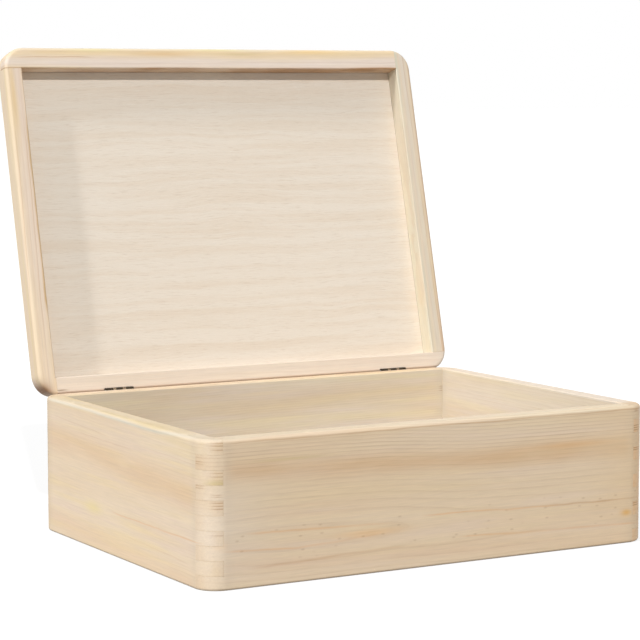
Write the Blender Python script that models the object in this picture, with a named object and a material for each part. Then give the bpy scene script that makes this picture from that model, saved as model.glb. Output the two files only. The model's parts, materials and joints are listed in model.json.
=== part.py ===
"""Comb-jointed pine chest with a hinged lid.

The chest stands with the centre of its underside at the origin, +X along the front
from left to right, -Y to the front and +Z up. The lid leans back at its open angle,
where the rounded back edges of lid and chest meet and stop it. Metres throughout.
"""

from math import cos, pi, radians, sin, tan

import bmesh
import bpy
from mathutils import Vector

MM = 0.001

# Driving dimensions of the box
WIDTH = 400.0 * MM
DEPTH = 296.0 * MM
BODY_HEIGHT = 111.0 * MM
LID_HEIGHT = 20.0 * MM
WALL = 15.0 * MM
LID_FRONT_WALL = 18.0 * MM
CORNER_RADIUS = 18.0 * MM
FINGER_HEIGHT = 11.1 * MM

# Rounded and eased edges
RIM_ROUND = 3.0 * MM
TOP_ROUND = 5.5 * MM
BASE_ROUND = 2.2 * MM
INNER_EASE = 0.8 * MM

# Plywood panels, let into rebates in the lower and upper faces
PANEL_THICKNESS = 5.0 * MM
REBATE_WIDTH = 7.5 * MM
PANEL_EASE = 0.5 * MM

# Lid and hinge line
OPEN_ANGLE = radians(104.0)
RIM_GAP = 0.3 * MM
LEFT_HINGE_FROM_END = 71.0 * MM
RIGHT_HINGE_FROM_END = 59.0 * MM

# Hinges: three knuckles on a pin, leaves in saw kerfs
HINGE_LENGTH = 26.0 * MM
BARREL_DIAMETER = 3.0 * MM
KNUCKLE_GAP = 1.0 * MM
PIN_DIAMETER = 1.2 * MM
PIN_EASE = 0.2 * MM
LEAF_THICKNESS = 0.8 * MM
LEAF_WIDTH = 11.0 * MM
LEAF_CORNER = 1.5 * MM

# Brads that hold the leaves
BRAD_DIAMETER = 1.3 * MM
BRAD_HEAD_DIAMETER = 2.6 * MM
BRAD_HEAD_THICKNESS = 0.6 * MM
BRAD_LENGTH = 10.0 * MM
BRAD_POINT = 1.5 * MM
BRAD_SPACING = 15.0 * MM
BRAD_EDGE = 0.8 * MM
BRAD_TIP_SHARE = 0.2

# Clearances
SEAM = 0.3 * MM
PIN_CLEARANCE = 0.1 * MM
BARREL_CLEARANCE = 0.3 * MM
BRAD_CLEARANCE = 0.3 * MM
OVERRUN = 2.0 * MM

# Facets
CORNER_STEPS = 9
ROUND_STEPS = 5
BARREL_STEPS = 24
PIN_STEPS = 16
BRAD_STEPS = 12
SMOOTH_ANGLE = radians(32.0)

# Worked out from the sizes above
LAND = WALL - REBATE_WIDTH
BARREL_RADIUS = BARREL_DIAMETER / 2
KNUCKLE_LENGTH = (HINGE_LENGTH - 2 * KNUCKLE_GAP) / 3
HINGES = {
    "left": -WIDTH / 2 + LEFT_HINGE_FROM_END,
    "right": WIDTH / 2 - RIGHT_HINGE_FROM_END,
}

# The two rounded back edges meet with the lid shut and meet again at the open angle
# when their centres stand at this angle from the pin, on the inner side of it.
EDGE_ANGLE = (2 * pi - OPEN_ANGLE) / 4
PIN_ABOVE_RIM = RIM_GAP / 2
PIN_INSET = RIM_ROUND - (RIM_ROUND + PIN_ABOVE_RIM) / tan(EDGE_ANGLE)
PIN_POINT = Vector((0.0, DEPTH / 2 - PIN_INSET, BODY_HEIGHT + PIN_ABOVE_RIM))
NECK = BARREL_RADIUS + BARREL_CLEARANCE
BRAD_DROP = PIN_ABOVE_RIM + RIM_ROUND + BRAD_EDGE + BRAD_HEAD_DIAMETER / 2

# In the lid's own frame, which has its origin on the pin and the lid shut
LID_RIM = PIN_ABOVE_RIM
LID_TOP = LID_RIM + LID_HEIGHT
LID_CENTRE = Vector((0.0, -PIN_POINT.y, 0.0))

# Directions of the hinge line, the brads and height
ACROSS = Vector((1, 0, 0))
INWARD = Vector((0, -1, 0))
UP = Vector((0, 0, 1))

# Each side of the box: the way along it, its half length and its outer face's distance
SIDES = {
    "front": (Vector((1, 0, 0)), WIDTH / 2, DEPTH / 2),
    "right": (Vector((0, 1, 0)), DEPTH / 2, WIDTH / 2),
    "back": (Vector((-1, 0, 0)), WIDTH / 2, DEPTH / 2),
    "left": (Vector((0, -1, 0)), DEPTH / 2, WIDTH / 2),
}

# The sides that each side's near and far ends join, and the walls of chest and lid
NEIGHBOURS = {
    "front": ("left", "right"),
    "right": ("front", "back"),
    "back": ("right", "left"),
    "left": ("back", "front"),
}
CHEST_WALLS = {side: WALL for side in SIDES}
LID_WALLS = {**CHEST_WALLS, "front": LID_FRONT_WALL}


def clear_scene():
    """Remove every object, so that the script can run twice."""
    for old in list(bpy.data.objects):
        bpy.data.objects.remove(old, do_unlink=True)


def make_material(name, colour, roughness, metallic=0.0):
    """A plain Principled material."""
    material = bpy.data.materials.new(name)
    material.use_nodes = True
    shader = material.node_tree.nodes["Principled BSDF"]
    shader.inputs["Base Color"].default_value = (*colour, 1.0)
    shader.inputs["Roughness"].default_value = roughness
    shader.inputs["Metallic"].default_value = metallic
    return material


def add_object(name, bm, place=None, parent=None, material=None):
    """Turn a bmesh into a named, smooth-shaded object."""
    bmesh.ops.recalc_face_normals(bm, faces=bm.faces)
    mesh = bpy.data.meshes.new(name)
    bm.to_mesh(mesh)
    bm.free()
    mesh.shade_smooth()
    mesh.set_sharp_from_angle(angle=SMOOTH_ANGLE)
    if material:
        mesh.materials.append(material)
    thing = bpy.data.objects.new(name, mesh)
    thing.location = place or Vector()
    thing.parent = parent
    bpy.context.collection.objects.link(thing)
    return thing


def add_cutter(name, bm, place=None, parent=None):
    """An object that only shapes others."""
    cutter = add_object(name, bm, place, parent)
    cutter.hide_render = True
    cutter.display_type = "WIRE"
    return cutter


def combine(thing, operation, other):
    """Add a Boolean with another object."""
    boolean = thing.modifiers.new(other.name, "BOOLEAN")
    boolean.operation = operation
    boolean.object = other
    boolean.solver = "EXACT"


def arc(steps):
    """Angles of a quarter turn, both ends included."""
    return [pi / 2 * step / steps for step in range(steps + 1)]


def rounded_loop(half_x, half_y, radius, z):
    """Points round a rectangle with rounded corners, anticlockwise from above."""
    points = []
    for turn, (sign_x, sign_y) in enumerate(((1, 1), (-1, 1), (-1, -1), (1, -1))):
        centre = Vector((sign_x * (half_x - radius), sign_y * (half_y - radius), z))
        for angle in arc(CORNER_STEPS):
            heading = angle + turn * pi / 2
            points.append(centre + radius * Vector((cos(heading), sin(heading), 0)))
    return points


def square_loop(half_x, half_y, z):
    """Points round a plain rectangle."""
    corners = ((half_x, half_y), (-half_x, half_y), (-half_x, -half_y), (half_x, -half_y))
    return [Vector((x, y, z)) for x, y in corners]


def skin_loops(bm, loops):
    """A closed solid through a stack of loops with equal counts of points."""
    rings = [[bm.verts.new(point) for point in loop] for loop in loops]
    for lower, upper in zip(rings, rings[1:]):
        count = len(lower)
        for index in range(count):
            following = (index + 1) % count
            bm.faces.new((lower[index], lower[following], upper[following], upper[index]))
    bm.faces.new(reversed(rings[0]))
    bm.faces.new(rings[-1])


def moved(loop, offset):
    """The loop shifted by a vector."""
    return [point + offset for point in loop]


def edge_round(radius, z_face, up):
    """Insets and heights of the loops round one edge, from its flat face outwards."""
    stack = []
    for angle in arc(ROUND_STEPS):
        stack.append((radius * (1 - sin(angle)), z_face + up * radius * (1 - cos(angle))))
    return stack


def stacked_block(half_x, half_y, radius, stack, centre):
    """A block with rounded upright corners through loops at (inset, height) pairs."""
    loops = []
    for inset, z in stack:
        loop = rounded_loop(half_x - inset, half_y - inset, radius - inset, z)
        loops.append(moved(loop, centre))
    bm = bmesh.new()
    skin_loops(bm, loops)
    return bm


def rounded_block(z_low, z_high, low_round, high_round, centre):
    """The box or the lid as one full block with rounded lower and upper edges."""
    stack = edge_round(low_round, z_low, 1) + edge_round(high_round, z_high, -1)[::-1]
    return stacked_block(WIDTH / 2, DEPTH / 2, CORNER_RADIUS, stack, centre)


def inside(walls, centre):
    """Half sizes and centre of the space between the boards."""
    half_x = WIDTH / 2 - WALL
    half_y = DEPTH / 2 - (walls["front"] + walls["back"]) / 2
    return half_x, half_y, centre + INWARD * (walls["back"] - walls["front"]) / 2


def ease_block(z_rim, z_far, walls, centre):
    """A tapered block that eases the inner edge of the rim."""
    up = 1 if z_rim > z_far else -1
    half_x, half_y, middle = inside(walls, centre)
    loops = []
    for grow in (-OVERRUN, INNER_EASE + OVERRUN):
        z = z_rim + up * (grow - INNER_EASE)
        loops.append(moved(square_loop(half_x + grow, half_y + grow, z), middle))
    bm = bmesh.new()
    skin_loops(bm, loops)
    return bm


def rebate_block(z_rim, z_far, walls, centre):
    """The seat of the panel, cut into the faces that lie away from the rim."""
    up = 1 if z_rim > z_far else -1
    half_x, half_y, middle = inside(walls, centre)
    half_x += REBATE_WIDTH
    half_y += REBATE_WIDTH
    stack = [(0.0, z_far - up * OVERRUN), (0.0, z_far + up * PANEL_THICKNESS)]
    return stacked_block(half_x, half_y, CORNER_RADIUS - LAND, stack, middle)


def comb_levels(height):
    """How many finger levels share a height."""
    return max(2, round(height / FINGER_HEIGHT))


def comb_end(sign, half_length, wall, z_levels, first_index, parity):
    """One end of a board from bottom to top, as places along it and heights.

    Levels count down from the rim of the chest, and up into the lid as -1, -2. The
    fingers of this end are the levels whose index has the given parity.
    """
    points = []
    last = len(z_levels) - 2
    for level in range(last + 1):
        is_finger = (first_index - level) % 2 == parity
        reach = half_length + OVERRUN if is_finger else half_length - wall - SEAM
        shrink = SEAM / 2 if is_finger else -SEAM / 2
        low = z_levels[level] + (shrink if level > 0 else -OVERRUN)
        high = z_levels[level + 1] + (-shrink if level < last else OVERRUN)
        points.append((sign * reach, low))
        points.append((sign * reach, high))
    return points


def comb_block(side, z_levels, first_index, walls, centre):
    """A board's outline with its two combs, for the rounded block to trim outside.

    The near end has its fingers at odd levels and the far end at even ones, so that
    one pattern of board fits its neighbours all the way round.
    """
    along, half_length, half_distance = SIDES[side]
    outward = Vector((along.y, -along.x, 0))
    before, after = NEIGHBOURS[side]
    near = comb_end(-1, half_length, walls[before], z_levels, first_index, 1)
    far = comb_end(1, half_length, walls[after], z_levels, first_index, 0)
    outline = [along * place + Vector((0, 0, z)) + centre for place, z in far + near[::-1]]
    bm = bmesh.new()
    skin_loops(bm, [
        moved(outline, outward * (half_distance - walls[side])),
        moved(outline, outward * (half_distance + OVERRUN)),
    ])
    return bm


def add_turned(bm, profile, steps, along, across, origin):
    """A solid of revolution from (radius, place) pairs along an axis."""
    third = along.cross(across)
    loops = []
    for radius, place in profile:
        loop = []
        for step in range(steps):
            angle = 2 * pi * step / steps
            spoke = across * cos(angle) + third * sin(angle)
            loop.append(origin + along * place + spoke * radius)
        loops.append(loop)
    skin_loops(bm, loops)


def board_ring(prefix, names, walls, z_rim, z_far, outer, first_index, parent, centre):
    """Four comb-jointed boards, each a slice of one rounded and hollowed block."""
    levels = comb_levels(abs(z_rim - z_far))
    z_low = min(z_rim, z_far)
    z_step = abs(z_rim - z_far) / levels
    z_levels = [z_low + z_step * level for level in range(levels + 1)]
    ease = ease_block(z_rim, z_far, walls, centre)
    ease = add_cutter(prefix + "_ease", ease, parent=parent)
    rebate = rebate_block(z_rim, z_far, walls, centre)
    rebate = add_cutter(prefix + "_rebate", rebate, parent=parent)
    boards = {}
    for side, name in names.items():
        board = add_object(name, outer.copy(), parent=parent, material=bpy.data.materials["pine"])
        comb = comb_block(side, z_levels, first_index, walls, centre)
        comb = add_cutter(name + "_comb", comb, parent=parent)
        combine(board, "INTERSECT", comb)
        combine(board, "DIFFERENCE", ease)
        combine(board, "DIFFERENCE", rebate)
        boards[side] = board
    outer.free()
    return boards


def panel(name, z_inner, z_outer, walls, parent, centre):
    """A plywood panel in its rebate, thinner by the seam where the boards lie over it."""
    up = 1 if z_inner > z_outer else -1
    half_x, half_y, middle = inside(walls, centre)
    half_x += REBATE_WIDTH - SEAM
    half_y += REBATE_WIDTH - SEAM
    stack = edge_round(PANEL_EASE, z_outer, up)
    stack += edge_round(PANEL_EASE, z_inner - up * SEAM, -up)[::-1]
    stack += [(REBATE_WIDTH, z_inner - up * SEAM), (REBATE_WIDTH, z_inner)]
    bm = stacked_block(half_x, half_y, CORNER_RADIUS - LAND - SEAM, stack, middle)
    return add_object(name, bm, parent=parent, material=bpy.data.materials["plywood"])


def build_chest():
    """The four boards and the bottom of the chest."""
    centre = Vector()
    outer = rounded_block(0.0, BODY_HEIGHT, BASE_ROUND, RIM_ROUND, centre)
    names = {side: side + "_board" for side in SIDES}
    boards = board_ring("chest", names, CHEST_WALLS, BODY_HEIGHT, 0.0, outer,
                        comb_levels(BODY_HEIGHT) - 1, None, centre)
    panel("bottom_panel", PANEL_THICKNESS, 0.0, CHEST_WALLS, None, centre)
    return boards


def build_lid(pivot):
    """The four rails and the panel of the lid, shut in the pivot's own frame."""
    outer = rounded_block(LID_RIM, LID_TOP, RIM_ROUND, TOP_ROUND, LID_CENTRE)
    names = {side: "lid_" + side + "_rail" for side in SIDES}
    rails = board_ring("lid", names, LID_WALLS, LID_RIM, LID_TOP, outer, -1, pivot, LID_CENTRE)
    panel("lid_panel", LID_TOP - PANEL_THICKNESS, LID_TOP, LID_WALLS, pivot, LID_CENTRE)
    return rails


def leaf_directions(rise):
    """The way a leaf runs from the pin into the wood, and the way across its plate."""
    inwards = Vector((0, -cos(EDGE_ANGLE), rise * sin(EDGE_ANGLE)))
    return inwards, ACROSS.cross(inwards)


def leaf_plate(knuckles, rise):
    """The plate of a leaf, with a tab to each of its knuckles."""
    half = HINGE_LENGTH / 2
    outline = [(-half, NECK)]
    for start, end in knuckles:
        outline += [(start, NECK), (start, 0.0), (end, 0.0), (end, NECK)]
    outline.append((half, NECK))
    outline = [place for index, place in enumerate(outline) if place != outline[index - 1]]
    outline += [
        (half, LEAF_WIDTH - LEAF_CORNER),
        (half - LEAF_CORNER, LEAF_WIDTH),
        (-half + LEAF_CORNER, LEAF_WIDTH),
        (-half, LEAF_WIDTH - LEAF_CORNER),
    ]
    inwards, normal = leaf_directions(rise)
    flat = [ACROSS * x + inwards * reach for x, reach in outline]
    offset = normal * LEAF_THICKNESS / 2
    bm = bmesh.new()
    skin_loops(bm, [moved(flat, -offset), moved(flat, offset)])
    return bm


def kerf_block(rise):
    """The saw kerf that takes a leaf."""
    half = HINGE_LENGTH / 2 + SEAM
    inwards, normal = leaf_directions(rise)
    corners = ((-half, 0.0), (half, 0.0), (half, LEAF_WIDTH + SEAM), (-half, LEAF_WIDTH + SEAM))
    flat = [ACROSS * x + inwards * reach for x, reach in corners]
    offset = normal * (LEAF_THICKNESS / 2 + SEAM)
    bm = bmesh.new()
    skin_loops(bm, [moved(flat, -offset), moved(flat, offset)])
    return bm


def rod(radius, start, end):
    """A plain cylinder along the pin's axis."""
    bm = bmesh.new()
    add_turned(bm, [(radius, start), (radius, end)], BARREL_STEPS, ACROSS, UP, Vector())
    return bm


def brad_solid(profile, side, rise):
    """A brad, or its hole, driven in from the back face on one side of the leaf."""
    bm = bmesh.new()
    origin = Vector((side * BRAD_SPACING / 2, PIN_INSET, rise * BRAD_DROP))
    add_turned(bm, profile, BRAD_STEPS, INWARD, ACROSS, origin)
    return bm


def brad_profile():
    """Head, shank and point of a brad, as radius and depth below the back face."""
    return [
        (BRAD_HEAD_DIAMETER / 2, 0.0),
        (BRAD_HEAD_DIAMETER / 2, BRAD_HEAD_THICKNESS),
        (BRAD_DIAMETER / 2, BRAD_HEAD_THICKNESS),
        (BRAD_DIAMETER / 2, BRAD_LENGTH - BRAD_POINT),
        (BRAD_DIAMETER / 2 * BRAD_TIP_SHARE, BRAD_LENGTH),
    ]


def brad_hole_profile():
    """The brad's hole, wider and deeper by the clearance."""
    return [
        (BRAD_HEAD_DIAMETER / 2 + BRAD_CLEARANCE, -OVERRUN),
        (BRAD_HEAD_DIAMETER / 2 + BRAD_CLEARANCE, BRAD_HEAD_THICKNESS + BRAD_CLEARANCE),
        (BRAD_DIAMETER / 2 + BRAD_CLEARANCE, BRAD_HEAD_THICKNESS + BRAD_CLEARANCE),
        (BRAD_DIAMETER / 2 + BRAD_CLEARANCE, BRAD_LENGTH + BRAD_CLEARANCE),
    ]


def build_half_hinge(name, knuckles, rise, board, place, parent):
    """A leaf with its knuckles and brads, and their seat in the board."""
    metal = bpy.data.materials["hinge_metal"]
    leaf = add_object(name + "_leaf", leaf_plate(knuckles, rise), place, parent, metal)
    for index, (start, end) in enumerate(knuckles):
        barrel = rod(BARREL_RADIUS, start, end)
        combine(leaf, "UNION", add_cutter(name + "_knuckle_" + str(index), barrel, place, parent))
    half = HINGE_LENGTH / 2
    bore = rod(PIN_DIAMETER / 2 + PIN_CLEARANCE, -half - OVERRUN, half + OVERRUN)
    combine(leaf, "DIFFERENCE", add_cutter(name + "_bore", bore, place, parent))
    end = half + BARREL_CLEARANCE
    groove = add_cutter(name + "_groove", rod(NECK, -end, end), place, parent)
    kerf = add_cutter(name + "_kerf", kerf_block(rise), place, parent)
    combine(board, "DIFFERENCE", groove)
    combine(board, "DIFFERENCE", kerf)
    for number, side in ((1, -1), (2, 1)):
        brad_name = name + "_brad_" + str(number)
        hole = brad_solid(brad_hole_profile(), side, rise)
        hole = add_cutter(brad_name + "_hole", hole, place, parent)
        combine(leaf, "DIFFERENCE", hole)
        combine(board, "DIFFERENCE", hole)
        brad = brad_solid(brad_profile(), side, rise)
        add_object(brad_name, brad, place, parent, bpy.data.materials["brad_steel"])


def build_pin(name, place):
    """The pin, as long as the barrel, with eased ends."""
    half = HINGE_LENGTH / 2
    radius = PIN_DIAMETER / 2
    profile = [
        (radius - PIN_EASE, -half),
        (radius, -half + PIN_EASE),
        (radius, half - PIN_EASE),
        (radius - PIN_EASE, half),
    ]
    bm = bmesh.new()
    add_turned(bm, profile, PIN_STEPS, ACROSS, UP, Vector())
    add_object(name, bm, place, None, bpy.data.materials["hinge_metal"])


def build_hinge(side, x, back_board, back_rail, pivot):
    """One hinge: the outer knuckles belong to the chest, the middle one to the lid."""
    half = HINGE_LENGTH / 2
    outer = [(-half, -half + KNUCKLE_LENGTH), (half - KNUCKLE_LENGTH, half)]
    middle = [(-KNUCKLE_LENGTH / 2, KNUCKLE_LENGTH / 2)]
    offset = Vector((x, 0.0, 0.0))
    name = side + "_hinge_"
    build_half_hinge(name + "body", outer, -1, back_board, PIN_POINT + offset, None)
    build_half_hinge(name + "lid", middle, 1, back_rail, offset, pivot)
    build_pin(name + "pin", PIN_POINT + offset)


def build_all():
    """The whole chest with its lid leaning back."""
    clear_scene()
    make_material("pine", (0.78, 0.60, 0.40), 0.6)
    make_material("plywood", (0.82, 0.68, 0.50), 0.65)
    make_material("hinge_metal", (0.10, 0.075, 0.05), 0.45, 0.9)
    make_material("brad_steel", (0.45, 0.43, 0.40), 0.4, 1.0)
    pivot = bpy.data.objects.new("lid_pivot", None)
    pivot.location = PIN_POINT
    pivot.rotation_euler.x = -OPEN_ANGLE
    bpy.context.collection.objects.link(pivot)
    boards = build_chest()
    rails = build_lid(pivot)
    for side, x in HINGES.items():
        build_hinge(side, x, boards["back"], rails["back"], pivot)


build_all()
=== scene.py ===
import json
from math import acos, asin, cos, pi, radians, sin, sqrt

import bmesh
import bpy
from mathutils import Matrix, Vector


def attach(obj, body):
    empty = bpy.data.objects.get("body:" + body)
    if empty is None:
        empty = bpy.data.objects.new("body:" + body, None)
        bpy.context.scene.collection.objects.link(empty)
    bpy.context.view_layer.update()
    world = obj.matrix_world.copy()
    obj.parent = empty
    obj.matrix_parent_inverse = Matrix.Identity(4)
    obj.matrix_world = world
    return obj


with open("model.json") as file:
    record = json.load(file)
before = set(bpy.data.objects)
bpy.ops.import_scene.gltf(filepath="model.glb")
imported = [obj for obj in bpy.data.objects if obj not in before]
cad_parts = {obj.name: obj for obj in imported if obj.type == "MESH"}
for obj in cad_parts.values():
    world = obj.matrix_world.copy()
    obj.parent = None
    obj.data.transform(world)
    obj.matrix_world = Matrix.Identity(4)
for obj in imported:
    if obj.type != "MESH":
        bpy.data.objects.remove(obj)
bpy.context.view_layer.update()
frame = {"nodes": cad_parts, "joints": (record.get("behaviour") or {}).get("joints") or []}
nodes = frame["nodes"]
hinge = frame["joints"][0]

# Sizes of the part in metres
WIDTH = 0.400
DEPTH = 0.296
BODY_HEIGHT = 0.111
LID_HEIGHT = 0.020
LID_RIM = 0.00015
WALL = 0.015
LID_FRONT_WALL = 0.018
REBATE_WIDTH = 0.0075
CORNER = 0.018
RIM_ROUND = 0.003
LOWER_ROUND = 0.0022
LID_TOP_ROUND = 0.0055
PANEL_THICKNESS = 0.005
INNER_EASE = 0.0008
OPEN_ANGLE = radians(hinge["range_deg"][1])
PIN = Vector(hinge["pos_m"])

# Glue in the seams, in metres
SEAM = 0.0003
GLUE = 0.0002
SUNK = 0.00005
SHEET_STEPS = 12
ARC_STEPS = 8

# Sizes for the materials in millimetres
MM = 1000.0
HALF_WIDTH = 200.0
HALF_DEPTH = 148.0
CORNER_MM = 18.0
HINGE_MIDDLES = {"left": -129.0, "right": 141.0}
KNUCKLE_GAP_AT = 4.5
NO_COMB = 9000.0

# Where a face counts as cut end, inner face or outer corner
END_GRAIN = (0.72, 0.97)
INNER_FACE = (0.6, 0.9)
OUTER_CORNER = (13.0, 14.0)
NORMALS_AGREE = (0.9, 0.94)
SHARP_EDGE = radians(35.0)
SAME_POINT = 0.00001

# Camera, lamps and floor
LENS = 133.668
CAMERA_PLACE = (-0.97184, -1.65064, 0.36731)
CAMERA_DOWN = 0.09968
CAMERA_TURN = -0.52354
FRONT_LAMP = dict(towards=(-0.33, -0.75, 0.61), strength=1.70, spread=1.6)
LEFT_LAMPS = 5
LEFT_LAMP = dict(strength=0.35, spread=3.0)
LEFT_LAMP_TOP = Vector((-0.633, -0.003, 0.775))
LEFT_LAMP_FOOT = Vector((-0.788, -0.092, 0.608))
FLOOR_GREY = 0.38
FLOOR_GLOW = 0.70
FLOOR_HALF = 25.0
FLOOR_DROP = 0.0002
STUDIO_LIGHT = 0.36

# Camera at the photograph's place
camera_data = bpy.data.cameras.new("camera")
camera_data.sensor_width = 36.0
camera_data.lens = LENS
camera_data.clip_start = 0.05
camera_data.clip_end = 60.0
camera = bpy.data.objects.new("camera", camera_data)
camera.location = CAMERA_PLACE
camera.rotation_euler = (pi / 2 - CAMERA_DOWN, 0.0, CAMERA_TURN)
bpy.context.scene.collection.objects.link(camera)
bpy.context.scene.camera = camera


class Graph:
    """Short calls that build the nodes of one material."""

    def __init__(self, name):
        self.material = bpy.data.materials.new(name)
        self.material.use_nodes = True
        self.tree = self.material.node_tree
        self.tree.nodes.clear()
        self.output = self.tree.nodes.new("ShaderNodeOutputMaterial")
        self.here = self.tree.nodes.new("ShaderNodeTexCoord")

    def feed(self, socket, value):
        if isinstance(value, bpy.types.NodeSocket):
            self.tree.links.new(value, socket)
        elif value is not None:
            socket.default_value = value

    def put(self, kind, inputs, **settings):
        node = self.tree.nodes.new(kind)
        for key, value in settings.items():
            setattr(node, key, value)
        for key, value in inputs.items():
            self.feed(node.inputs[key], value)
        return node

    def math(self, operation, a, b=None, c=None):
        inputs = {0: a, 1: b, 2: c}
        return self.put("ShaderNodeMath", inputs, operation=operation).outputs[0]

    def add(self, a, b):
        return self.math("ADD", a, b)

    def times(self, a, b):
        return self.math("MULTIPLY", a, b)

    def vector(self, operation, a, b=None):
        return self.put("ShaderNodeVectorMath", {0: a, 1: b}, operation=operation)

    def dot(self, a, b):
        return self.vector("DOT_PRODUCT", a, b).outputs["Value"]

    def scale(self, a, amount):
        inputs = {0: a, "Scale": amount}
        return self.put("ShaderNodeVectorMath", inputs, operation="SCALE").outputs[0]

    def length(self, a):
        return self.vector("LENGTH", a).outputs["Value"]

    def joined(self, x, y, z):
        return self.put("ShaderNodeCombineXYZ", {0: x, 1: y, 2: z}).outputs[0]

    def step(self, value, low, high, out_low=0.0, out_high=1.0):
        inputs = {0: value, 1: low, 2: high, 3: out_low, 4: out_high}
        node = self.put("ShaderNodeMapRange", inputs, interpolation_type="SMOOTHSTEP")
        return node.outputs[0]

    def scaled(self, value, low, high):
        return self.put("ShaderNodeMapRange", {0: value, 3: low, 4: high}).outputs[0]

    def noise(self, place, detail=2.0, roughness=0.5):
        inputs = {"Vector": place, "Scale": 1.0, "Detail": detail, "Roughness": roughness}
        return self.put("ShaderNodeTexNoise", inputs).outputs[0]

    def centred(self, place, detail):
        return self.add(self.noise(place, detail), -0.5)

    def bell(self, value, sharpness):
        return self.math("EXPONENT", self.times(self.times(value, value), -sharpness))

    def spot(self, along, across, at_along, at_across, length, height):
        u = self.math("MULTIPLY_ADD", along, 1.0 / length, -at_along / length)
        v = self.math("MULTIPLY_ADD", across, 1.0 / height, -at_across / height)
        return self.length(self.joined(u, v, 0.0))

    def random(self, value):
        node = self.put("ShaderNodeTexWhiteNoise", {"W": value}, noise_dimensions="1D")
        return node.outputs[0]

    def ramp(self, value, stops):
        node = self.put("ShaderNodeValToRGB", {0: value})
        elements = node.color_ramp.elements
        while len(elements) < len(stops):
            elements.new(0.5)
        for element, (place, shade) in zip(elements, stops):
            element.position = place
            element.color = (shade, shade, shade, 1.0)
        return node.outputs[0]

    def mix(self, share, a, b, blend="MIX"):
        colours = {0: share, 6: a, 7: b}
        node = self.put("ShaderNodeMix", colours, data_type="RGBA", blend_type=blend)
        return node.outputs[2]

    def blend_vectors(self, share, a, b):
        vectors = {0: share, 4: a, 5: b}
        return self.put("ShaderNodeMix", vectors, data_type="VECTOR").outputs[1]

    def tinted(self, share, colour, tint):
        return self.mix(share, colour, self.mix(1.0, colour, tint, "MULTIPLY"))

    def toned(self, colour, tone):
        return self.mix(1.0, colour, self.joined(tone, tone, tone), "MULTIPLY")

    def to_world(self, normal):
        turned = dict(vector_type="NORMAL", convert_from="OBJECT", convert_to="WORLD")
        return self.put("ShaderNodeVectorTransform", {0: normal}, **turned).outputs[0]

    def bump(self, height, distance, strength, normal=None):
        inputs = {"Height": height, "Distance": distance, "Strength": strength, "Normal": normal}
        return self.put("ShaderNodeBump", inputs).outputs[0]

    def principled(self, colour, roughness, normal, **constants):
        inputs = {"Base Color": colour, "Roughness": roughness, "Normal": normal}
        shader = self.put("ShaderNodeBsdfPrincipled", inputs)
        for key, value in constants.items():
            shader.inputs[key.replace("_", " ")].default_value = value
        self.tree.links.new(shader.outputs[0], self.output.inputs[0])
        return self.material


def shade(colour):
    """A colour given as it looks on screen, turned into linear light."""
    linear = []
    for channel in colour:
        part = channel / 255
        linear.append(part / 12.92 if part <= 0.04045 else ((part + 0.055) / 1.055) ** 2.4)
    return (*linear, 1.0)


def board_place(graph, board):
    """Distances in mm along the grain, across the face and into the wood."""
    here = graph.here.outputs["Object"]
    from_origin = graph.vector("SUBTRACT", here, board["origin"]).outputs[0]
    return [graph.dot(from_origin, board[axis] * MM) for axis in ("along", "across", "deep")]


def stretched(graph, place, lengths, seed):
    """Board coordinates divided by lengths in mm, shifted by a seed."""
    parts = []
    for index, (value, length) in enumerate(zip(place, lengths)):
        parts.append(graph.math("MULTIPLY_ADD", value, 1.0 / length, seed * (index + 1.7)))
    return graph.joined(*parts)


def rounded(graph, board, place):
    """The true normal of a rounded corner, which the facets only come near."""
    along = place[0]
    side = place[2] if board["side"] == "deep" else place[1]
    normal = graph.here.outputs["Normal"]
    past = graph.add(graph.math("ABSOLUTE", along), CORNER_MM - board["reach"])
    past = graph.times(graph.math("MAXIMUM", past, 0.0), graph.math("SIGN", along))
    short = graph.math("MINIMUM", graph.add(side, -CORNER_MM), 0.0)
    sideways = graph.scale(board[board["side"]], short)
    outward = graph.vector("ADD", graph.scale(board["along"], past), sideways).outputs[0]
    unit = graph.vector("NORMALIZE", outward).outputs[0]
    rise = graph.dot(normal, board["up"])
    level = graph.math("MULTIPLY_ADD", rise, graph.times(rise, -1.0), 1.0)
    level = graph.math("SQRT", level)
    turned = graph.scale(board["up"], rise)
    turned = graph.vector("ADD", graph.scale(unit, level), turned).outputs[0]
    agree = graph.math("DIVIDE", graph.dot(normal, unit), graph.math("MAXIMUM", level, 0.01))
    share = graph.step(graph.length(outward), *OUTER_CORNER)
    share = graph.times(share, graph.step(agree, *NORMALS_AGREE))
    return graph.blend_vectors(share, normal, turned)


def ring_radius(graph, board, place, sway, ripple):
    """Distance from the pith, bent with the trunk, its bulges and its knots."""
    along, across, deep = place
    pith_across, pith_deep = board["pith"]
    from_pith = graph.add(across, -pith_across)
    from_pith = graph.math("MULTIPLY_ADD", along, -board["slope"], from_pith)
    at_end = graph.math("ABSOLUTE", along)
    flat = graph.step(at_end, board["comb"] - 25.0, board["comb"] - 15.0, 1.0, 0.0)
    depth = graph.math("MULTIPLY_ADD", deep, flat, -pith_deep)
    bulge = graph.times(along, board["taper"])
    for begin, stop, sideways, outward in board["bends"]:
        share = graph.step(along, begin, stop)
        from_pith = graph.math("MULTIPLY_ADD", share, -sideways, from_pith)
        bulge = graph.math("MULTIPLY_ADD", share, outward, bulge)
    radius = graph.add(graph.length(graph.joined(from_pith, depth, 0.0)), bulge)
    radius = graph.math("MULTIPLY_ADD", sway, board["sway"], radius)
    radius = graph.math("MULTIPLY_ADD", ripple, board["ripple"], radius)
    for knot_along, knot_across, length, height, _ in board["knots"]:
        ring = graph.spot(along, across, knot_along, knot_across, length, height)
        radius = graph.math("MULTIPLY_ADD", graph.bell(ring, 0.35), height * 0.8, radius)
    return radius


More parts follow.
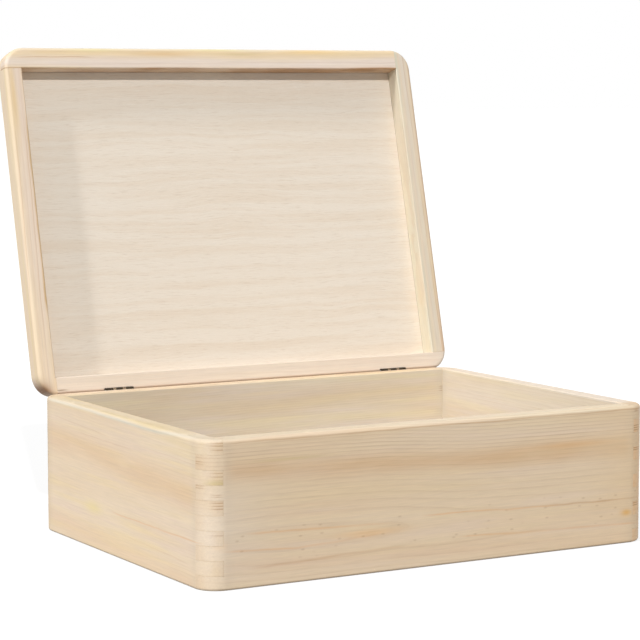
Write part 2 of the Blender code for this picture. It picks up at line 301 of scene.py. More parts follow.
def ring_lines(graph, board, place, radius, fade, end, inside):
    """Pale spring wood that darkens to a thin summer line and stops sharply."""
    along, across, _ = place
    even = board["even"]
    phase = graph.math("MULTIPLY_ADD", radius, 1.0 / board["ring"], board["phase"])
    ring = graph.math("FLOOR", phase)
    share = graph.math("FRACT", phase)
    stops = ((0.0, 0.35), (0.07, 0.0), (0.6, 0.0), (0.84, 0.45), (0.94, 1.0))
    line = graph.ramp(share, stops)
    chance = graph.random(graph.add(ring, board["seed"]))
    line = graph.times(line, graph.scaled(chance, even, 1.0))
    line = graph.times(line, graph.step(fade, 0.3, 0.65, even, 1.0))
    for value, (low, high, plain, rich) in ((across, board["fine"]), (along, board["ends"])):
        line = graph.times(line, graph.step(value, low, high, plain, rich))
    line = graph.times(line, graph.scaled(end, 1.0, board["end_lines"]))
    return graph.times(line, graph.scaled(inside, 1.0, board["inner_lines"]))


def beside_line(graph, place, height, lean, width, wave, amount):
    """Distance from a wavy line along the board, counted in its widths."""
    along, across, _ = place
    off = graph.math("MULTIPLY_ADD", along, -lean, graph.add(across, -height))
    return graph.times(graph.math("MULTIPLY_ADD", wave, amount, off), 1.0 / width)


def ground_colour(graph, board, place, sway, fade):
    """Broad patches and bands of colour under the rings."""
    patch = graph.noise(stretched(graph, place, (190.0, 26.0, 30.0), board["seed"] + 5.9), 1.0)
    hue = graph.noise(stretched(graph, place, (150.0, 8.0, 6.0), board["seed"] + 6.7), 2.0)
    patch = graph.step(patch, 0.35, 0.72, 0.0, board["patch"])
    body = graph.mix(patch, board["early"], board["tan"])
    body = graph.mix(graph.step(hue, 0.5, 0.68, 0.0, board["hue"]), body, board["yellow"])
    body = graph.mix(graph.step(hue, 0.5, 0.32, 0.0, board["hue"]), body, board["pink"])
    for middle, lean, width, amount, colour in board["bands"]:
        off = beside_line(graph, place, middle, lean, width, sway, -9.0)
        amount = graph.times(graph.step(fade, 0.2, 0.7, 0.6, 1.0), amount)
        body = graph.mix(graph.times(graph.bell(off, 1.0), amount), body, colour)
    at_end = graph.math("ABSOLUTE", place[0])
    comb = graph.step(at_end, board["comb"] - 27.0, board["comb"] - 13.0)
    return graph.mix(graph.times(comb, 0.6), body, COMB)


def marked(graph, board, place, body, ripple, fade):
    """Blurs, thin streaks, painted shade along an edge, and knots."""
    along, across, deep = place
    for spot_along, spot_across, length, height, strength, colour in board["blurs"]:
        ring = graph.spot(along, across, spot_along, spot_across, length, height)
        body = graph.mix(graph.times(graph.bell(ring, 1.4), strength), body, colour)
    for begin, stop, height, lean, width, strength, colour in board["streaks"]:
        start = height - lean * begin
        off = beside_line(graph, place, start, lean, width, ripple, 2.4)
        here = graph.times(graph.step(along, begin - 6.0, begin + 14.0),
                           graph.step(along, stop + 6.0, stop - 14.0))
        here = graph.times(here, graph.step(fade, 0.25, 0.6, 0.45, 1.0))
        share = graph.times(graph.times(graph.bell(off, 1.0), here), strength)
        body = graph.mix(share, body, colour)
    # Painted shade along an edge: a darker colour where the edge's rounding lies in shade
    width, depth, strength, colour = board["painted_edge_shade"]
    edge_shade_mask = graph.times(graph.step(across, width, 0.0), graph.step(deep, depth, depth * 0.6))
    body = graph.mix(graph.times(edge_shade_mask, strength), body, colour)
    for knot_along, knot_across, length, height, strength in board["knots"]:
        ring = graph.spot(along, across, knot_along, knot_across, length, height)
        ring = graph.math("MULTIPLY_ADD", ripple, 1.2, ring)
        body = graph.mix(graph.times(graph.step(ring, 1.3, 0.3), strength), body, board["knot"])
    return body


def flecked(graph, board, place, body, facing):
    """Resin flecks along the grain, between two heights of the face."""
    along, across, _ = place
    cells = stretched(graph, (along, across, 0.0), (17.0, 7.5, 1.0), board["seed"] + 1.3)
    inputs = {"Vector": cells, "Scale": 1.0}
    flecks = graph.put("ShaderNodeTexVoronoi", inputs, voronoi_dimensions="2D")
    chosen = graph.step(graph.dot(flecks.outputs["Color"], (1.0, 0.0, 0.0)), 0.3, 0.8)
    dot = graph.times(graph.step(flecks.outputs["Distance"], 0.15, 0.02), chosen)
    low, high = board["flecks"]
    zone = graph.times(graph.step(across, low, low + 5.0), graph.step(across, high, high - 5.0))
    zone = graph.times(zone, graph.step(facing, 0.7, 0.3))
    return graph.mix(graph.times(graph.times(dot, zone), 0.3), body, board["fleck"])


def pine(name, board):
    """Pine with growth rings about a pith that lies outside the board.

    The tables of a board hold, with lengths in mm:
    bends: begin, stop, sideways, outward
    bands: middle, lean, width, strength, colour
    blurs: along, across, length, height, strength, colour
    streaks: begin, stop, height, lean, width, strength, colour
    knots: along, across, length, height, strength
    painted_edge_shade: width, depth, strength, colour of a painted shade along an edge
    fine and ends: from, to, strength of the lines before and after
    """
    graph = Graph(name)
    place = board_place(graph, board)
    seed = board["seed"]
    normal = rounded(graph, board, place)
    facing = graph.math("ABSOLUTE", graph.dot(normal, board["along"]))
    end = graph.step(facing, *END_GRAIN)
    inside = graph.step(graph.dot(normal, board["deep"]), *INNER_FACE)

    sway = graph.centred(stretched(graph, place, (150.0, 45.0, 45.0), seed), 2.0)
    ripple = graph.centred(stretched(graph, place, (26.0, 7.0, 7.0), seed + 3.1), 2.0)
    fade = graph.noise(stretched(graph, place, (60.0, 16.0, 24.0), seed + 8.3), 2.0)
    radius = ring_radius(graph, board, place, sway, ripple)
    line = ring_lines(graph, board, place, radius, fade, end, inside)

    body = ground_colour(graph, board, place, sway, fade)
    body = graph.mix(graph.times(line, 0.8), body, board["late"])
    body = marked(graph, board, place, body, ripple, fade)
    body = flecked(graph, board, place, body, facing)

    # Fine fibres, and the cut ends that drink in light
    fibre = graph.noise(stretched(graph, place, (19.0, 1.0, 1.0), seed + 2.2), 3.0, 0.6)
    streak = graph.noise(stretched(graph, place, (60.0, 2.6, 2.6), seed + 4.4), 2.0)
    tone = graph.add(graph.scaled(fibre, -0.1, 0.1), graph.scaled(streak, 0.95, 1.05))
    body = graph.toned(body, tone)
    body = graph.tinted(end, body, board["end"])
    # Painted shade on the inner faces, from the board's inner tint
    body = graph.tinted(inside, body, board["inner"])

    roughness = graph.add(graph.scaled(fibre, 0.5, 0.64), graph.times(line, -0.08))
    height = graph.add(graph.times(fibre, 0.5), graph.times(line, 0.8))
    surface = graph.bump(height, 0.00012, 0.55, graph.to_world(normal))
    return graph.principled(body, roughness, surface, Specular_IOR_Level=0.35)


def plywood(name, board):
    """Rotary-cut veneer: a pale wild figure with short fibre dashes."""
    graph = Graph(name)
    place = board_place(graph, board)
    seed = board["seed"]
    sway = graph.noise(stretched(graph, place, (120.0, 60.0, 60.0), seed), 2.0)
    lifted = graph.math("MULTIPLY_ADD", sway, 14.0, place[1])
    bent = (place[0], lifted, place[2])
    figure = graph.noise(stretched(graph, bent, (180.0, 6.0, 40.0), seed + 2.0), 2.0)
    dashes = graph.noise(stretched(graph, bent, (12.0, 0.95, 20.0), seed + 4.0), 2.0, 0.55)
    pores = graph.noise(stretched(graph, bent, (3.2, 0.45, 8.0), seed + 6.0), 2.0, 0.6)
    body = graph.mix(graph.step(figure, 0.35, 0.7), board["early"], board["late"])
    dark = graph.step(dashes, 0.54, 0.74)
    body = graph.mix(graph.times(dark, 0.34), body, board["dash"])
    light = graph.step(dashes, 0.42, 0.24)
    body = graph.mix(graph.times(light, 0.4), body, board["pale"])
    body = graph.toned(body, graph.scaled(pores, 0.955, 1.045))
    roughness = graph.scaled(dashes, 0.55, 0.7)
    height = graph.add(graph.times(dashes, -1.0), graph.times(pores, 0.4))
    surface = graph.bump(height, 0.0002, 0.6)
    return graph.principled(body, roughness, surface, Specular_IOR_Level=0.3)


def bronzed(name, middle):
    """Steel bronzed dark, rubbed brighter in places, with painted light where the knuckles meet.
    """
    graph = Graph(name)
    place = graph.scale(graph.here.outputs["Object"], MM)
    worn = graph.noise(place, 3.0, 0.6)
    share = graph.step(worn, 0.45, 0.75)
    body = graph.mix(share, shade((60, 51, 42)), shade((106, 90, 70)))
    from_middle = graph.math("ABSOLUTE", graph.add(graph.dot(place, X), -middle))
    from_gap = graph.math("ABSOLUTE", graph.add(from_middle, -KNUCKLE_GAP_AT))
    # Painted light: a pale band at the gaps where the knuckles meet
    knuckle_gap_light = graph.step(from_gap, 1.5, 0.9)
    body = graph.mix(graph.times(knuckle_gap_light, 0.8), body, shade((196, 172, 142)))
    roughness = graph.scaled(worn, 0.34, 0.56)
    surface = graph.bump(worn, 0.00005, 0.4)
    return graph.principled(body, roughness, surface, Metallic=0.85)


def drawn_steel(name):
    """Bright steel with fine marks."""
    graph = Graph(name)
    place = graph.vector("MULTIPLY", graph.here.outputs["Object"], (900.0, 4000.0, 900.0))
    marks = graph.noise(place.outputs[0], 3.0, 0.6)
    body = graph.mix(marks, shade((150, 146, 140)), shade((196, 192, 186)))
    roughness = graph.scaled(marks, 0.28, 0.5)
    surface = graph.bump(marks, 0.00003, 0.4)
    return graph.principled(body, roughness, surface, Metallic=1.0)


def turned_open(direction):
    """A direction of the shut lid, in the pose where it leans back."""
    return Matrix.Rotation(-OPEN_ANGLE, 3, "X") @ Vector(direction)


X, Y, Z = Vector((1, 0, 0)), Vector((0, 1, 0)), Vector((0, 0, 1))
LID_Y, LID_Z = turned_open(Y), turned_open(Z)
LID_ORIGIN = PIN - turned_open((0.0, PIN.y, 0.0))

ORANGE = shade((226, 176, 120))
PEACH = shade((232, 194, 148))
BROWN = shade((196, 154, 110))
YELLOW = shade((234, 215, 160))
# Painted shade inside the chest: the inner faces tinted cooler and a little darker
GREYER = (0.89, 0.985, 1.11, 1.0)
COMB = shade((219, 199, 172))
MARK = shade((168, 126, 84))
# Brown of the painted shade along an edge
EDGE_SHADE_BROWN = shade((150, 122, 92))


def marks(at, heights, length, strength):
    """A stack of short thin lines across the end of a board."""
    return tuple((at, height, length, 0.5, strength, MARK) for height in heights)


CREAM = dict(
    early=shade((232, 211, 182)),
    tan=shade((222, 190, 150)),
    late=shade((190, 148, 104)),
    yellow=shade((236, 214, 172)),
    pink=shade((230, 208, 188)),
    knot=shade((206, 146, 84)),
    fleck=shade((176, 140, 102)),
    end=(0.97, 0.94, 0.90, 1.0),
    end_lines=1.6,
    inner=(1.0, 1.0, 1.0, 1.0),
    inner_lines=0.55,
    comb=NO_COMB,
    even=0.25,
    patch=0.4,
    hue=0.6,
    knots=(),
    bands=(),
    blurs=(),
    streaks=(),
    bends=(),
    flecks=(-50.0, -40.0),
    fine=(-500.0, -400.0, 0.6, 0.6),
    ends=(-900.0, -800.0, 1.0, 1.0),
    slope=0.0,
    taper=0.01,
    sway=5.0,
    ripple=0.9,
    ring=2.1,
    phase=0.0,
    side="deep",
    up=Z,
    # Painted shade along the bottom edge, where the chest meets the floor
    painted_edge_shade=(1.9, 2.4, 0.75, EDGE_SHADE_BROWN),
)

# No painted edge shade on the lid's rails
NO_EDGE_SHADE = (1.9, 3.0, 0.0, EDGE_SHADE_BROWN)
RAIL = dict(CREAM, side="across", up=LID_Z, inner_lines=1.0, painted_edge_shade=NO_EDGE_SHADE)

BOARDS = {
    "front_board": dict(
        CREAM, reach=HALF_WIDTH, comb=HALF_WIDTH, seed=1.0,
        origin=Vector((0.0, -DEPTH / 2, 0.0)), along=X, across=Z, deep=Y,
        early=shade((231, 209, 180)), pith=(33.0, -60.0), slope=-0.008, taper=0.0,
        even=0.5, inner=GREYER, end_lines=1.0, late=shade((178, 138, 98)),
        hue=0.35, yellow=shade((233, 211, 174)), patch=0.3,
        bends=(
            (-60.0, 40.0, -4.0, 0.0),
            (-112.0, 104.0, 0.0, 1.8),
            (-130.0, -215.0, 0.0, 0.7),
        ),
        sway=1.2, ripple=0.5, phase=0.13, flecks=(16.0, 46.0), fine=(82.0, 92.0, 0.27, 0.6),
        bands=(
            (82.0, -0.02, 8.0, 0.75, shade((216, 180, 138))),
            (11.0, -0.04, 6.0, 0.35, shade((222, 188, 152))),
            (60.0, -0.05, 10.0, 0.35, shade((226, 202, 164))),
            (111.6, 0.0, 1.8, 0.7, shade((225, 214, 190))),
        ),
        blurs=(
            (-62.0, 31.5, 30.0, 3.2, 0.75, PEACH),
            (-187.0, 33.0, 7.0, 4.0, 0.6, PEACH),
            (125.0, 84.0, 48.0, 3.4, 0.6, shade((222, 178, 128))),
            (-130.0, 93.0, 40.0, 1.6, 0.4, shade((206, 184, 128))),
            # Painted light: a paler patch where the rounded front-left corner catches the lamps
            (-192.0, 44.0, 54.0, 46.0, 0.5, shade((234, 219, 201))),
            (188.0, 56.0, 46.0, 60.0, 0.4, shade((228, 198, 156))),
            (198.0, 56.0, 10.0, 90.0, 0.6, shade((240, 198, 152))),
            (178.6, 25.0, 6.0, 3.2, 0.9, shade((226, 178, 108))),
            *marks(-188.8, (70.6, 69.2), 4.0, 0.4),
            *marks(188.0, (107.6, 106.2), 3.0, 0.6),
            *marks(-199.6, (94.6, 93.0, 77.0, 75.4, 35.2, 33.6), 3.4, 0.4),
        ),
        streaks=(
            (-184.0, 200.0, 107.9, 0.0, 0.5, 0.5, BROWN),
            (-12.0, 110.0, 40.3, -0.027, 0.7, 0.6, ORANGE),
            (96.0, 192.0, 37.3, -0.015, 0.6, 0.6, BROWN),
            (20.0, 192.0, 20.5, -0.03, 0.8, 0.45, ORANGE),
            (-184.0, -120.0, 29.0, -0.05, 0.8, 0.45, ORANGE),
            (-128.0, -50.0, 25.5, 0.06, 0.9, 0.45, ORANGE),
            (-165.0, -45.0, 40.6, -0.03, 0.9, 0.45, ORANGE),
            (-160.0, -30.0, 14.5, 0.03, 1.0, 0.35, BROWN),
        ),
    ),
    "back_board": dict(
        CREAM, reach=HALF_WIDTH, comb=HALF_WIDTH, seed=2.0,
        origin=Vector((0.0, DEPTH / 2, 0.0)), along=X, across=Z, deep=-Y,
        pith=(-90.0, 10.0), slope=0.01, taper=-0.01, patch=0.6, inner=GREYER,
        bands=((92.0, 0.02, 9.0, 0.5, shade((222, 190, 150))),),
        knots=((-96.0, 38.0, 5.0, 4.0, 0.8), (128.0, 34.0, 3.0, 2.4, 0.7)),
        flecks=(12.0, 40.0),
        blurs=marks(184.0, (95.2, 93.4, 91.4), 3.0, 0.6),
    ),
    "left_board": dict(
        CREAM, reach=HALF_DEPTH, comb=HALF_DEPTH, seed=3.0,
        origin=Vector((-WIDTH / 2, 0.0, 0.0)), along=Y, across=Z, deep=X,
        early=shade((234, 214, 187)), pith=(-62.0, 8.0), slope=0.02, taper=0.01, ring=2.6,
        sway=3.0, fine=(48.0, 92.0, 0.22, 0.4), ends=(-60.0, -128.0, 0.5, 1.0), end_lines=2.2,
        patch=0.25, inner=GREYER,
        bands=(
            (74.0, 0.04, 13.0, 0.7, shade((226, 194, 156))),
            (8.0, 0.03, 8.0, 0.5, shade((228, 198, 162))),
            # Painted shade on the rim and the rounding below it, with a yellower tone on the rim
            (111.9, 0.0, 1.5, 0.8, shade((216, 197, 154))),
            (109.4, 0.0, 1.3, 0.8, shade((214, 208, 192))),
        ),
        blurs=(
            (45.0, 33.0, 17.0, 6.0, 0.75, YELLOW),
            (-139.0, 28.0, 4.0, 4.0, 0.6, ORANGE),
            (-147.0, 79.0, 7.0, 3.0, 0.5, shade((196, 178, 112))),
            # Painted light: a paler patch where the rounded front-left corner catches the lamps
            (-150.0, 40.0, 22.0, 34.0, 0.5, shade((234, 219, 203))),
            *marks(-147.6, (108.6, 106.5, 103.6, 64.8, 62.6, 60.4), 4.0, 0.6),
            *marks(-147.6, (86.7, 84.0, 41.0), 4.0, 0.4),
        ),
        streaks=(
            (-138.0, 10.0, 35.0, 0.0, 0.5, 0.55, ORANGE),
            (-120.0, -20.0, 17.0, 0.03, 0.5, 0.25, BROWN),
            (20.0, 120.0, 94.0, 0.03, 0.4, 0.3, BROWN),
            (-30.0, 70.0, 88.0, 0.02, 0.4, 0.25, BROWN),
        ),
    ),
    "right_board": dict(
        CREAM, reach=HALF_DEPTH, comb=HALF_DEPTH, seed=4.0,
        origin=Vector((WIDTH / 2, 0.0, 0.0)), along=Y, across=Z, deep=-X,
        pith=(40.0, -50.0), slope=-0.02, taper=-0.015, sway=3.0, flecks=(20.0, 60.0),
        # The inner tint here is a darker painted shade
        knots=((-70.0, 52.0, 5.0, 3.6, 0.8),), inner=(0.86, 0.95, 1.09, 1.0), hue=0.35,
        bands=((111.8, 0.0, 1.7, 0.75, shade((226, 216, 204))),),
        blurs=(
            (-148.0, 56.0, 9.0, 90.0, 0.65, shade((240, 198, 152))),
            *marks(-147.6, (94.6, 92.8, 91.0, 76.6, 75.0), 4.0, 0.7),
            *marks(-147.6, (33.4, 31.9, 30.2), 4.0, 0.7),
        ),
    ),
    "lid_front_rail": dict(
        RAIL, reach=HALF_WIDTH, seed=5.0,
        origin=LID_ORIGIN - LID_Y * DEPTH / 2, along=X, across=LID_Y, deep=LID_Z,
        pith=(-35.0, 8.0), ring=5.5, patch=0.2, hue=0.6, fine=(-500.0, -400.0, 0.3, 0.3),
        early=shade((234, 216, 195)),
        bands=(
            (4.2, 0.0, 4.2, 0.8, shade((236, 210, 165))),
            (0.3, 0.0, 1.6, 0.8, shade((230, 223, 204))),
            (13.0, 0.0, 4.0, 0.8, shade((231, 217, 206))),
            # Painted shade on the rail's inner face, which faces down over the panel when the lid
            # is open
            (18.3, 0.0, 1.0, 1.0, shade((172, 126, 80))),
        ),
        blurs=(
            (-52.0, 5.2, 32.0, 2.4, 0.75, shade((226, 193, 148))),
            (-118.0, 2.0, 26.0, 2.2, 0.6, shade((234, 222, 170))),
            (2.0, 1.2, 34.0, 1.4, 0.6, shade((228, 217, 156))),
            (22.0, 5.2, 28.0, 1.6, 0.55, shade((218, 196, 148))),
            (96.0, 2.6, 36.0, 2.2, 0.7, shade((240, 207, 150))),
        ),
        streaks=((-192.0, -120.0, 8.4, 0.0, 0.4, 0.6, BROWN),),
    ),
    "lid_back_rail": dict(
        RAIL, reach=HALF_WIDTH, seed=6.0,
        origin=LID_ORIGIN + LID_Y * DEPTH / 2, along=X, across=-LID_Y, deep=LID_Z,
        early=shade((231, 216, 199)), yellow=shade((232, 216, 194)), tan=shade((226, 208, 188)),
        pith=(-60.0, 12.0), ring=4.0, patch=0.2, hue=0.4,
        fine=(-500.0, -400.0, 0.3, 0.3),
        blurs=(
            (-181.0, 4.0, 6.0, 0.6, 0.8, shade((128, 98, 70))),
            # Painted shade on the lid's back-left corner
            (-200.0, 0.0, 10.5, 10.5, 2.0, shade((146, 106, 72))),
        ),
        # Painted shade in the hinge line, along the back rail's edge at the rim
        painted_edge_shade=(3.6, 4.6, 1.0, shade((130, 82, 42))),
    ),
    "lid_left_rail": dict(
        RAIL, reach=HALF_DEPTH, seed=7.0,
        origin=LID_ORIGIN - X * WIDTH / 2, along=LID_Y, across=X, deep=LID_Z,
        pith=(-48.0, 10.0), ring=4.6, patch=0.2, hue=0.8,
        bands=(
            (1.5, 0.0, 3.0, 0.45, shade((236, 218, 186))),
            (9.0, 0.0, 4.5, 0.7, shade((231, 214, 200))),
        ),
        blurs=(
            (-105.0, 5.0, 36.0, 2.6, 0.7, shade((228, 198, 150))),
            # Painted shade on the lid's back-left corner
            (148.0, 0.0, 10.5, 10.5, 2.0, shade((146, 106, 72))),
        ),
        streaks=((-90.0, 80.0, 14.3, 0.0, 1.0, 0.85, shade((196, 162, 112))),),
    ),
    "lid_right_rail": dict(
        RAIL, reach=HALF_DEPTH, seed=8.0,
        origin=LID_ORIGIN + X * WIDTH / 2, along=LID_Y, across=-X, deep=LID_Z,
        pith=(-52.0, 8.0), ring=4.8, patch=0.2, hue=0.8,
        bands=(
            (0.5, 0.0, 3.6, 0.85, shade((214, 178, 140))),
            (8.5, 0.0, 4.4, 0.85, shade((220, 209, 192))),
            (15.4, 0.0, 2.2, 0.95, shade((214, 209, 190))),
        ),
    ),
}

VENEER = dict(
    early=shade((234, 223, 208)),
    late=shade((230, 216, 198)),
    dash=shade((207, 188, 166)),
    pale=shade((240, 232, 220)),
)

PANELS = {
    "lid_panel": dict(VENEER, origin=LID_ORIGIN, along=X, across=LID_Y, deep=LID_Z, seed=11.0),
    "bottom_panel": dict(VENEER, origin=Vector(), along=X, across=Y, deep=Z, seed=12.0),
}


def smooth_group():
    """Joins the facets' corners and smooths all but the sharp edges."""
    group = bpy.data.node_groups.new("smooth_rounds", "GeometryNodeTree")
    for direction in ("INPUT", "OUTPUT"):
        group.interface.new_socket("Geometry", in_out=direction, socket_type="NodeSocketGeometry")
    start = group.nodes.new("NodeGroupInput")
    joined = group.nodes.new("GeometryNodeMergeByDistance")
    joined.inputs["Distance"].default_value = SAME_POINT
    angle = group.nodes.new("GeometryNodeInputMeshEdgeAngle")
    sharp = group.nodes.new("FunctionNodeCompare")
    sharp.operation = "GREATER_THAN"
    sharp.inputs[1].default_value = SHARP_EDGE
    normals = group.nodes.new("GeometryNodeSetMeshNormal")
    normals.mode = "SHARPNESS"
    normals.inputs["Remove Custom"].default_value = True
    end = group.nodes.new("NodeGroupOutput")
    link = group.links.new
    link(start.outputs[0], joined.inputs["Geometry"])
    link(joined.outputs["Geometry"], normals.inputs["Mesh"])
    link(angle.outputs["Unsigned Angle"], sharp.inputs[0])
    link(sharp.outputs[0], normals.inputs["Edge Sharpness"])
    link(normals.outputs["Mesh"], end.inputs[0])
    return group


def dress(node, material, group):
    """Gives a CAD node its finish, with its rounds shaded smooth."""
    node.data.materials.clear()
    node.data.materials.append(material)
    smooth = node.modifiers.new("smooth_rounds", "NODES")
    smooth.node_group = group
    weighted = node.modifiers.new("flat_faces_flat", "WEIGHTED_NORMAL")
    weighted.mode = "FACE_AREA"
    weighted.weight = 100
    weighted.keep_sharp = True


group = smooth_group()
bronze = {}
for side, middle in HINGE_MIDDLES.items():
    bronze[side] = bronzed(side + "_hinge_bronze", middle)
steel = drawn_steel("brad_steel_drawn")
for name, node in nodes.items():
    if name in BOARDS:
        finish = pine(name + "_pine", BOARDS[name])
    elif name in PANELS:
        finish = plywood(name + "_veneer", PANELS[name])
    elif "brad" in name or "pin" in name:
        finish = steel
    else:
        finish = bronze[name.split("_")[0]]
    dress(node, finish, group)


def glued(name):
    """Glue squeezed thin in a seam, the colour of the wood beside it."""
    graph = Graph(name)
    place = graph.vector("MULTIPLY", graph.here.outputs["Object"], (260.0, 260.0, 900.0))
    cloud = graph.noise(place.outputs[0], 3.0, 0.6)
    body = graph.mix(cloud, shade((222, 198, 164)), shade((236, 216, 186)))
    roughness = graph.scaled(cloud, 0.35, 0.55)
    surface = graph.bump(cloud, 0.00004, 0.4)
    return graph.principled(body, roughness, surface, Specular_IOR_Level=0.4)


def edge_inset(depth, height, rim_round, far_round):
    """How far the outer edge rounds back at a depth below the rim."""
    for radius, from_face in ((rim_round, depth), (far_round, height - depth)):
        if from_face < radius:
            return radius - sqrt(radius ** 2 - (radius - max(from_face, 0.0)) ** 2)
    return 0.0


def corner_inset(beside, inset):
    """Where the rounded corner cuts a sheet that lies this far from the other face."""
    return CORNER - sqrt((CORNER - inset) ** 2 - (CORNER - beside) ** 2)


def glue_outline(top, bottom, ring, wall, beside):
    """A glue sheet at a finger's end, as insets through one wall and depths."""
    height = ring["height"]
    span = bottom - top
    steps = [top + span * step / SHEET_STEPS for step in range(SHEET_STEPS + 1)]
    outer, inner = [], []
    for depth in steps:
        inset = edge_inset(depth, height, ring["rim_round"], ring["far_round"])
        outer.append((corner_inset(beside + SEAM / 2, inset) + SUNK, depth))
        at_rebate = depth > height - PANEL_THICKNESS - SUNK
        reach = wall - (REBATE_WIDTH if at_rebate else max(0.0, INNER_EASE - depth))
        inner.append((reach - SUNK, depth))
    return outer + inner[::-1]


def add_slab(bm, outline, offset):
    """A closed slab between an outline and the same outline moved aside."""
    near = [bm.verts.new(point) for point in outline]
    far = [bm.verts.new(point + offset) for point in outline]
    bm.faces.new(near)
    bm.faces.new(reversed(far))
    for index, vertex in enumerate(near):
        before = index - 1
        bm.faces.new((near[before], far[before], far[index], vertex))


def glue_mesh(bm, ring):
    """The glue in all four comb joints of one ring of boards."""
    origin, along_y, down = ring["origin"], ring["y"], ring["down"]
    half_x, half_y = WIDTH / 2, DEPTH / 2
    count, height = ring["levels"], ring["height"]

    def at(x, y, depth):
        return origin + X * x + along_y * y + down * depth

    for side_x in (-1, 1):
        for side_y in (-1, 1):
            wall = ring["front_wall"] if side_y < 0 else WALL
            for level in range(count):
                top = height * level / count + (GLUE / 2 + SUNK if level else 2 * SUNK)
                bottom = height * (level + 1) / count - (GLUE / 2 + SUNK)
                odd = (level + ring["first"]) % 2 == 1
                if odd == (side_x * side_y > 0):
                    y = side_y * (half_y - wall - SUNK)
                    sheet = glue_outline(top, bottom, ring, WALL, wall)
                    loop = [at(side_x * (half_x - u), y, depth) for u, depth in sheet]
                    offset = -along_y * side_y * GLUE
                else:
                    x = side_x * (half_x - WALL - SUNK)
                    sheet = glue_outline(top, bottom, ring, wall, WALL)
                    loop = [at(x, side_y * (half_y - u), depth) for u, depth in sheet]
                    offset = -X * side_x * GLUE
                add_slab(bm, loop, offset)
            for level in range(1, count):
                depth = height * level / count - GLUE / 2
                edge = [(WALL - SUNK, wall - SUNK)]
                reach = CORNER - SUNK
                first = asin((CORNER - WALL + SUNK) / reach)
                last = acos((CORNER - wall + SUNK) / reach)
                for step in range(ARC_STEPS + 1):
                    turn = first + (last - first) * step / ARC_STEPS
                    edge.append((CORNER - reach * sin(turn), CORNER - reach * cos(turn)))
                loop = []
                for u, v in edge:
                    loop.append(at(side_x * (half_x - u), side_y * (half_y - v), depth))
                add_slab(bm, loop, down * GLUE)


def add_glue(name, body, ring, material):
    """The glue of one ring of boards as a piece of its own."""
    bm = bmesh.new()
    glue_mesh(bm, ring)
    bmesh.ops.recalc_face_normals(bm, faces=bm.faces)
    mesh = bpy.data.meshes.new(name)
    bm.to_mesh(mesh)
    bm.free()
    mesh.materials.append(material)
    piece = bpy.data.objects.new(name, mesh)
    bpy.context.scene.collection.objects.link(piece)
    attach(piece, body)


chest_ring = dict(
    origin=Vector((0.0, 0.0, BODY_HEIGHT)), y=Y, down=-Z, height=BODY_HEIGHT, levels=10,
    first=0, rim_round=RIM_ROUND, far_round=LOWER_ROUND, front_wall=WALL,
)
lid_ring = dict(
    origin=LID_ORIGIN + LID_Z * LID_RIM, y=LID_Y, down=LID_Z, height=LID_HEIGHT, levels=2,
    first=1, rim_round=RIM_ROUND, far_round=LID_TOP_ROUND, front_wall=LID_FRONT_WALL,
)
glue = glued("seam_glue")
add_glue("chest_comb_glue", "chest", chest_ring, glue)
add_glue("lid_comb_glue", "lid", lid_ring, glue)


def add_sun(name, towards, strength, spread):
    """A lamp far off, in the given direction from the chest."""
    data = bpy.data.lights.new(name, "SUN")
    data.energy = strength
    data.angle = radians(spread)
    lamp = bpy.data.objects.new(name, data)
    lamp.rotation_euler = Vector(towards).to_track_quat("Z", "Y").to_euler()
    bpy.context.scene.collection.objects.link(lamp)


add_sun("front_lamp", **FRONT_LAMP)

# A tall narrow lamp to the left, as a row of small ones
for place in range(LEFT_LAMPS):
    towards = LEFT_LAMP_TOP.lerp(LEFT_LAMP_FOOT, place / (LEFT_LAMPS - 1))
    add_sun("left_lamp_" + str(place + 1), towards, **LEFT_LAMP)


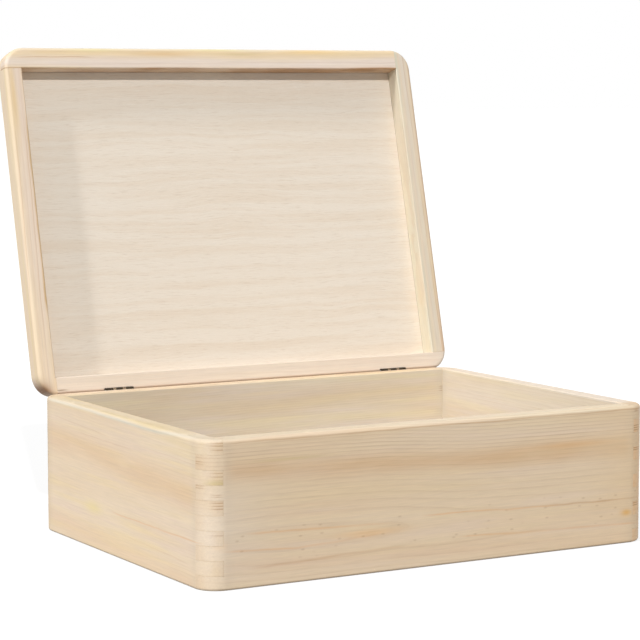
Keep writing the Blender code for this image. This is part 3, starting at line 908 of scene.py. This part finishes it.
def white_to_camera(tree):
    """A share of 1 for what the camera, mirrors and glass see of the backdrop."""
    path = tree.nodes.new("ShaderNodeLightPath")
    seen = path.outputs["Is Camera Ray"]
    for ray in ("Is Glossy Ray", "Is Transmission Ray"):
        either = tree.nodes.new("ShaderNodeMath")
        either.operation = "MAXIMUM"
        tree.links.new(seen, either.inputs[0])
        tree.links.new(path.outputs[ray], either.inputs[1])
        seen = either.outputs[0]
    return seen


# Pale plain floor, white where nothing shades it
floor_material = bpy.data.materials.new("floor")
floor_material.use_nodes = True
tree = floor_material.node_tree
tree.nodes.clear()
diffuse = tree.nodes.new("ShaderNodeBsdfDiffuse")
diffuse.inputs["Color"].default_value = (FLOOR_GREY, FLOOR_GREY, FLOOR_GREY, 1.0)
glow = tree.nodes.new("ShaderNodeEmission")
share = white_to_camera(tree)
strength = tree.nodes.new("ShaderNodeMath")
strength.operation = "MULTIPLY"
strength.inputs[1].default_value = FLOOR_GLOW
tree.links.new(share, strength.inputs[0])
tree.links.new(strength.outputs[0], glow.inputs["Strength"])
both = tree.nodes.new("ShaderNodeAddShader")
tree.links.new(diffuse.outputs[0], both.inputs[0])
tree.links.new(glow.outputs[0], both.inputs[1])
out = tree.nodes.new("ShaderNodeOutputMaterial")
tree.links.new(both.outputs[0], out.inputs[0])
floor_mesh = bpy.data.meshes.new("floor")
signs = ((-1, -1), (1, -1), (1, 1), (-1, 1))
corners = [(x * FLOOR_HALF, y * FLOOR_HALF, 0.0) for x, y in signs]
floor_mesh.from_pydata(corners, [], [(0, 1, 2, 3)])
floor_mesh.materials.append(floor_material)
floor = bpy.data.objects.new("floor", floor_mesh)
floor.location.z = -FLOOR_DROP
bpy.context.scene.collection.objects.link(floor)

# Soft even light all round, white to the camera
world = bpy.data.worlds.new("studio")
world.use_nodes = True
bpy.context.scene.world = world
tree = world.node_tree
back = tree.nodes["Background"]
share = white_to_camera(tree)
level = tree.nodes.new("ShaderNodeMapRange")
level.inputs["To Min"].default_value = STUDIO_LIGHT
level.inputs["To Max"].default_value = 1.0
tree.links.new(share, level.inputs["Value"])
tree.links.new(level.outputs[0], back.inputs["Strength"])
back.inputs["Color"].default_value = (1.0, 1.0, 1.0, 1.0)

bpy.context.scene.view_settings.view_transform = "Standard"
